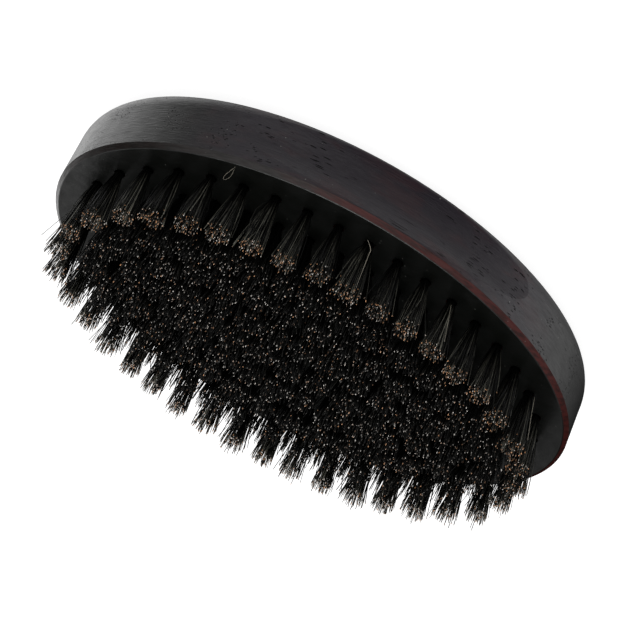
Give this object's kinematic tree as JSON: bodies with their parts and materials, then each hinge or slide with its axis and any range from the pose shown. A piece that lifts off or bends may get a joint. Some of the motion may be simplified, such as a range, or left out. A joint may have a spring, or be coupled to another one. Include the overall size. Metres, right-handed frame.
{
  "type": "beard brush",
  "caption": "Oval palm brush for a beard: dark wooden block with finger grooves and a flat field of staple-set boar bristle tufts.",
  "frame": {"origin": "centre of the flat land on the wooden back, which the brush lies on", "axes": "+Z from the back towards the bristle tips, X along the oval's long axis, Y across it"},
  "size_m": [0.1119, 0.0678, 0.0325],
  "materials": {
    "ebony_wood": "nearly black stained hardwood with open pores and a satin wax finish, rubbed red-brown along the bevel",
    "boar_bristle": "black natural boar hair with a soft shine and tan, split tips",
    "anchor_wire": "bright flat staple wire"
  },
  "bodies": {
    "root": {"anchors_centre_row": "anchor_wire", "anchors_inner_back_left": "anchor_wire", "anchors_inner_back_right": "anchor_wire", "anchors_inner_front_left": "anchor_wire", "anchors_inner_front_right": "anchor_wire", "anchors_outer_back_left": "anchor_wire", "anchors_outer_back_right": "anchor_wire", "anchors_outer_front_left": "anchor_wire", "anchors_outer_front_right": "anchor_wire", "anchors_second_back_left": "anchor_wire", "anchors_second_back_right": "anchor_wire", "anchors_second_front_left": "anchor_wire", "anchors_second_front_right": "anchor_wire", "anchors_third_back_left": "anchor_wire", "anchors_third_back_right": "anchor_wire", "anchors_third_front_left": "anchor_wire", "anchors_third_front_right": "anchor_wire", "tufts_centre_row": "boar_bristle", "tufts_inner_back_left": "boar_bristle", "tufts_inner_back_right": "boar_bristle", "tufts_inner_front_left": "boar_bristle", "tufts_inner_front_right": "boar_bristle", "tufts_outer_back_left": "boar_bristle", "tufts_outer_back_right": "boar_bristle", "tufts_outer_front_left": "boar_bristle", "tufts_outer_front_right": "boar_bristle", "tufts_second_back_left": "boar_bristle", "tufts_second_back_right": "boar_bristle", "tufts_second_front_left": "boar_bristle", "tufts_second_front_right": "boar_bristle", "tufts_third_back_left": "boar_bristle", "tufts_third_back_right": "boar_bristle", "tufts_third_front_left": "boar_bristle", "tufts_third_front_right": "boar_bristle", "wooden_block": "ebony_wood"}
  },
  "joints": []
}
